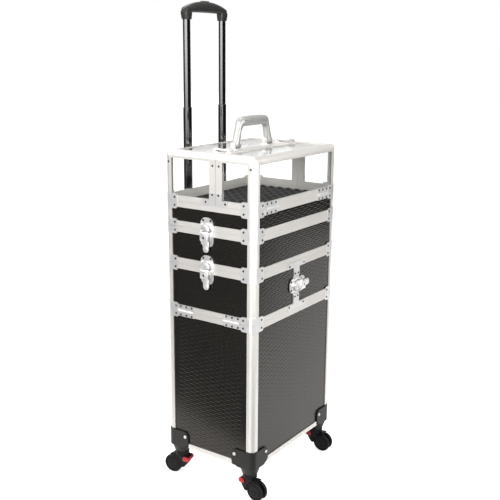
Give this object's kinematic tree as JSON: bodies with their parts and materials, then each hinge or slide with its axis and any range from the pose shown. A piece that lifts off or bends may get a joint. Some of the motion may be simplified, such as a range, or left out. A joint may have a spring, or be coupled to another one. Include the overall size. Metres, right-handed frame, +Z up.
{
  "type": "makeup train case",
  "caption": "Rolling stacked train case with a deep bin, butterfly wings, lift-off cases, clear split lid, telescopic trolley and swivel casters.",
  "frame": {"origin": "on the floor, under the middle of the overall box", "axes": "+X along the long faces, -Y out of the front face, +Z up; the trolley is on +Y"},
  "size_m": [0.377, 0.3009, 1.1385],
  "materials": {
    "panel_black": "embossed satin black",
    "board_black": "black lining over board",
    "frame_silver": "satin anodised",
    "fitting_chrome": "polished",
    "plastic_black": "fine moulded grain",
    "pole_black": "gloss black",
    "button_grey": "satin",
    "tray_plastic": "satin",
    "arm_steel": "satin",
    "foam_black": "open-cell foam",
    "clear_acrylic": "clear",
    "handle_grey": "satin silver",
    "lock_chrome": "polished",
    "caster_black": "moulded",
    "wheel_black": "satin",
    "brake_red": "moulded"
  },
  "bodies": {
    "bin": {"bin_panels": "panel_black", "bin_floor": "board_black", "bin_posts": "frame_silver", "bin_rails": "frame_silver", "bin_fittings": "fitting_chrome", "corner_guards": "plastic_black", "trolley_outer_tubes": "pole_black", "trolley_clamps": "plastic_black"},
    "trolley_lower": {"trolley_lower_tubes": "pole_black"},
    "trolley_middle": {"trolley_middle_tubes": "pole_black"},
    "trolley_upper": {"trolley_upper_tubes": "pole_black", "trolley_grip": "plastic_black"},
    "trolley_button": {"trolley_button": "button_grey"},
    "wing_left": {"wing_panels_left": "panel_black", "wing_frame_left": "frame_silver", "wing_fittings_left": "fitting_chrome"},
    "wing_right": {"wing_panels_right": "panel_black", "wing_frame_right": "frame_silver", "wing_fittings_right": "fitting_chrome"},
    "inner_tray_left": {"inner_tray_left": "tray_plastic"},
    "inner_tray_right": {"inner_tray_right": "tray_plastic"},
    "tray_arms_left": {"tray_arms_left": "arm_steel"},
    "tray_arms_right": {"tray_arms_right": "arm_steel"},
    "tray_links_left": {"tray_links_left": "arm_steel"},
    "tray_links_right": {"tray_links_right": "arm_steel"},
    "middle_case": {"middle_panels": "panel_black", "middle_floor": "board_black", "middle_frame": "frame_silver", "middle_fittings": "fitting_chrome"},
    "top_tray": {"top_tray_panels": "panel_black", "top_tray_floor": "board_black", "top_tray_frame": "frame_silver", "top_tray_fittings": "fitting_chrome", "foam_pad": "foam_black"},
    "lid_front": {"lid_front_panels": "clear_acrylic", "lid_front_frame": "frame_silver", "lid_front_fittings": "fitting_chrome"},
    "lid_back": {"lid_back_panels": "clear_acrylic", "lid_back_frame": "frame_silver", "lid_back_fittings": "fitting_chrome"},
    "carry_handle": {"carry_handle": "handle_grey"},
    "lock_middle_left": {"lock_middle_left": "lock_chrome"},
    "lock_middle_right": {"lock_middle_right": "lock_chrome"},
    "lock_wing_left": {"lock_wing_left": "lock_chrome"},
    "lock_wing_right": {"lock_wing_right": "lock_chrome"},
    "lock_front": {"lock_front": "lock_chrome"},
    "lid_catch_left": {"lid_catch_left": "lock_chrome"},
    "lid_catch_right": {"lid_catch_right": "lock_chrome"},
    "caster_fl": {"caster_body_fl": "caster_black"},
    "wheels_fl": {"caster_wheels_fl": "wheel_black"},
    "brake_fl": {"brake_lever_fl": "brake_red"},
    "caster_fr": {"caster_body_fr": "caster_black"},
    "wheels_fr": {"caster_wheels_fr": "wheel_black"},
    "brake_fr": {"brake_lever_fr": "brake_red"},
    "caster_bl": {"caster_body_bl": "caster_black"},
    "wheels_bl": {"caster_wheels_bl": "wheel_black"},
    "brake_bl": {"brake_lever_bl": "brake_red"},
    "caster_br": {"caster_body_br": "caster_black"},
    "wheels_br": {"caster_wheels_br": "wheel_black"},
    "brake_br": {"brake_lever_br": "brake_red"}
  },
  "joints": [
    {"name": "middle_lift", "type": "slide", "parent": "bin", "child": "middle_case", "axis": [0, 0, 1], "range_m": [0, 0.283]},
    {"name": "wing_left_hinge", "type": "hinge", "parent": "bin", "child": "wing_left", "pos_m": [-0.1783, -0.00256, 0.433], "axis": [0, -1, 0], "range_deg": [0, 90]},
    {"name": "tray_arms_left_pivot", "type": "hinge", "parent": "bin", "child": "tray_arms_left", "pos_m": [-0.135, -0.00256, 0.4164], "axis": [0, -1, 0], "range_deg": [0, 90]},
    {"name": "tray_links_left_pivot", "type": "hinge", "parent": "bin", "child": "tray_links_left", "pos_m": [-0.085, -0.00256, 0.4164], "axis": [0, -1, 0], "range_deg": [0, 90]},
    {"name": "inner_tray_left_pivot", "type": "hinge", "parent": "tray_arms_left", "child": "inner_tray_left", "pos_m": [-0.07843, -0.00256, 0.47297], "axis": [0, 1, 0], "range_deg": [0, 90]},
    {"name": "wing_right_hinge", "type": "hinge", "parent": "bin", "child": "wing_right", "pos_m": [0.1783, -0.00256, 0.433], "axis": [0, 1, 0], "range_deg": [0, 90]},
    {"name": "tray_arms_right_pivot", "type": "hinge", "parent": "bin", "child": "tray_arms_right", "pos_m": [0.135, -0.00256, 0.4164], "axis": [0, 1, 0], "range_deg": [0, 90]},
    {"name": "tray_links_right_pivot", "type": "hinge", "parent": "bin", "child": "tray_links_right", "pos_m": [0.085, -0.00256, 0.4164], "axis": [0, 1, 0], "range_deg": [0, 90]},
    {"name": "inner_tray_right_pivot", "type": "hinge", "parent": "tray_arms_right", "child": "inner_tray_right", "pos_m": [0.07843, -0.00256, 0.47297], "axis": [0, -1, 0], "range_deg": [0, 90]},
    {"name": "top_tray_lift", "type": "slide", "parent": "middle_case", "child": "top_tray", "axis": [0, 0, 1], "range_m": [0, 0.08]},
    {"name": "lid_front_hinge", "type": "hinge", "parent": "top_tray", "child": "lid_front", "pos_m": [0, -0.13086, 0.692], "axis": [1, 0, 0], "range_deg": [0, 100]},
    {"name": "lid_back_hinge", "type": "hinge", "parent": "top_tray", "child": "lid_back", "pos_m": [0, 0.12574, 0.692], "axis": [-1, 0, 0], "range_deg": [0, 3]},
    {"name": "carry_handle_fold", "type": "hinge", "parent": "lid_back", "child": "carry_handle", "pos_m": [0, 0.00144, 0.818], "axis": [-1, 0, 0], "range_deg": [0, 80]},
    {"name": "lock_middle_left_lever", "type": "hinge", "parent": "middle_case", "child": "lock_middle_left", "pos_m": [-0.183, 0.00144, 0.6278], "axis": [0, 1, 0], "range_deg": [0, 80]},
    {"name": "lock_wing_left_lever", "type": "hinge", "parent": "wing_left", "child": "lock_wing_left", "pos_m": [-0.183, 0.00144, 0.5408], "axis": [0, 1, 0], "range_deg": [0, 80]},
    {"name": "lid_catch_left_lever", "type": "hinge", "parent": "lid_back", "child": "lid_catch_left", "pos_m": [-0.128, 0.00944, 0.8115], "axis": [-1, 0, 0], "range_deg": [0, 90]},
    {"name": "lock_middle_right_lever", "type": "hinge", "parent": "middle_case", "child": "lock_middle_right", "pos_m": [0.183, 0.00144, 0.6278], "axis": [0, -1, 0], "range_deg": [0, 80]},
    {"name": "lock_wing_right_lever", "type": "hinge", "parent": "wing_right", "child": "lock_wing_right", "pos_m": [0.183, 0.00144, 0.5408], "axis": [0, -1, 0], "range_deg": [0, 80]},
    {"name": "lid_catch_right_lever", "type": "hinge", "parent": "lid_back", "child": "lid_catch_right", "pos_m": [0.128, 0.00944, 0.8115], "axis": [-1, 0, 0], "range_deg": [0, 90]},
    {"name": "lock_front_lever", "type": "hinge", "parent": "wing_right", "child": "lock_front", "pos_m": [0.0062, -0.13556, 0.49], "axis": [0, 0, -1], "range_deg": [0, 80]},
    {"name": "trolley_lower_slide", "type": "slide", "parent": "bin", "child": "trolley_lower", "axis": [0, 0, 1], "range_m": [-0.228, 0]},
    {"name": "trolley_middle_slide", "type": "slide", "parent": "trolley_lower", "child": "trolley_middle", "axis": [0, 0, 1], "range_m": [-0.223, 0]},
    {"name": "trolley_upper_slide", "type": "slide", "parent": "trolley_middle", "child": "trolley_upper", "axis": [0, 0, 1], "range_m": [-0.197, 0]},
    {"name": "trolley_button_press", "type": "slide", "parent": "trolley_upper", "child": "trolley_button", "axis": [0, 0, -1], "range_m": [0, 0.004], "stiffness_N_per_m": 800, "springref_m": -0.001},
    {"name": "swivel_fl", "type": "hinge", "parent": "bin", "child": "caster_fl", "pos_m": [-0.153, -0.10456, 0.073], "axis": [0, 0, 1], "continuous": true},
    {"name": "wheel_spin_fl", "type": "hinge", "parent": "caster_fl", "child": "wheels_fl", "pos_m": [-0.15492, -0.12648, 0.023], "axis": [0.9962, -0.0872, 0], "continuous": true},
    {"name": "brake_press_fl", "type": "hinge", "parent": "caster_fl", "child": "brake_fl", "pos_m": [-0.15178, -0.09062, 0.044], "axis": [-0.9962, 0.0872, 0], "range_deg": [0, 8]},
    {"name": "swivel_fr", "type": "hinge", "parent": "bin", "child": "caster_fr", "pos_m": [0.153, -0.10456, 0.073], "axis": [0, 0, 1], "continuous": true},
    {"name": "wheel_spin_fr", "type": "hinge", "parent": "caster_fr", "child": "wheels_fr", "pos_m": [0.15377, -0.12655, 0.023], "axis": [0.9994, 0.0349, 0], "continuous": true},
    {"name": "brake_press_fr", "type": "hinge", "parent": "caster_fr", "child": "brake_fr", "pos_m": [0.15251, -0.09057, 0.044], "axis": [-0.9994, -0.0349, 0], "range_deg": [0, 8]},
    {"name": "swivel_bl", "type": "hinge", "parent": "bin", "child": "caster_bl", "pos_m": [-0.153, 0.09944, 0.073], "axis": [0, 0, 1], "continuous": true},
    {"name": "wheel_spin_bl", "type": "hinge", "parent": "caster_bl", "child": "wheels_bl", "pos_m": [-0.15682, 0.1211, 0.023], "axis": [-0.9848, -0.1736, 0], "continuous": true},
    {"name": "brake_press_bl", "type": "hinge", "parent": "caster_bl", "child": "brake_bl", "pos_m": [-0.15057, 0.08565, 0.044], "axis": [0.9848, 0.1736, 0], "range_deg": [0, 8]},
    {"name": "swivel_br", "type": "hinge", "parent": "bin", "child": "caster_br", "pos_m": [0.153, 0.09944, 0.073], "axis": [0, 0, 1], "continuous": true},
    {"name": "wheel_spin_br", "type": "hinge", "parent": "caster_br", "child": "wheels_br", "pos_m": [0.13615, 0.11358, 0.023], "axis": [-0.6428, -0.766, 0], "continuous": true},
    {"name": "brake_press_br", "type": "hinge", "parent": "caster_br", "child": "brake_br", "pos_m": [0.16373, 0.09044, 0.044], "axis": [0.6428, 0.766, 0], "range_deg": [0, 8]}
  ],
  "couplings": [
    {"joint": "wing_left_hinge", "follows": "middle_lift", "rad_per_m": 5.55},
    {"joint": "tray_arms_left_pivot", "follows": "middle_lift", "rad_per_m": 5.55},
    {"joint": "tray_links_left_pivot", "follows": "middle_lift", "rad_per_m": 5.55},
    {"joint": "inner_tray_left_pivot", "follows": "middle_lift", "rad_per_m": 5.55},
    {"joint": "wing_right_hinge", "follows": "middle_lift", "rad_per_m": 5.55},
    {"joint": "tray_arms_right_pivot", "follows": "middle_lift", "rad_per_m": 5.55},
    {"joint": "tray_links_right_pivot", "follows": "middle_lift", "rad_per_m": 5.55},
    {"joint": "inner_tray_right_pivot", "follows": "middle_lift", "rad_per_m": 5.55}
  ]
}
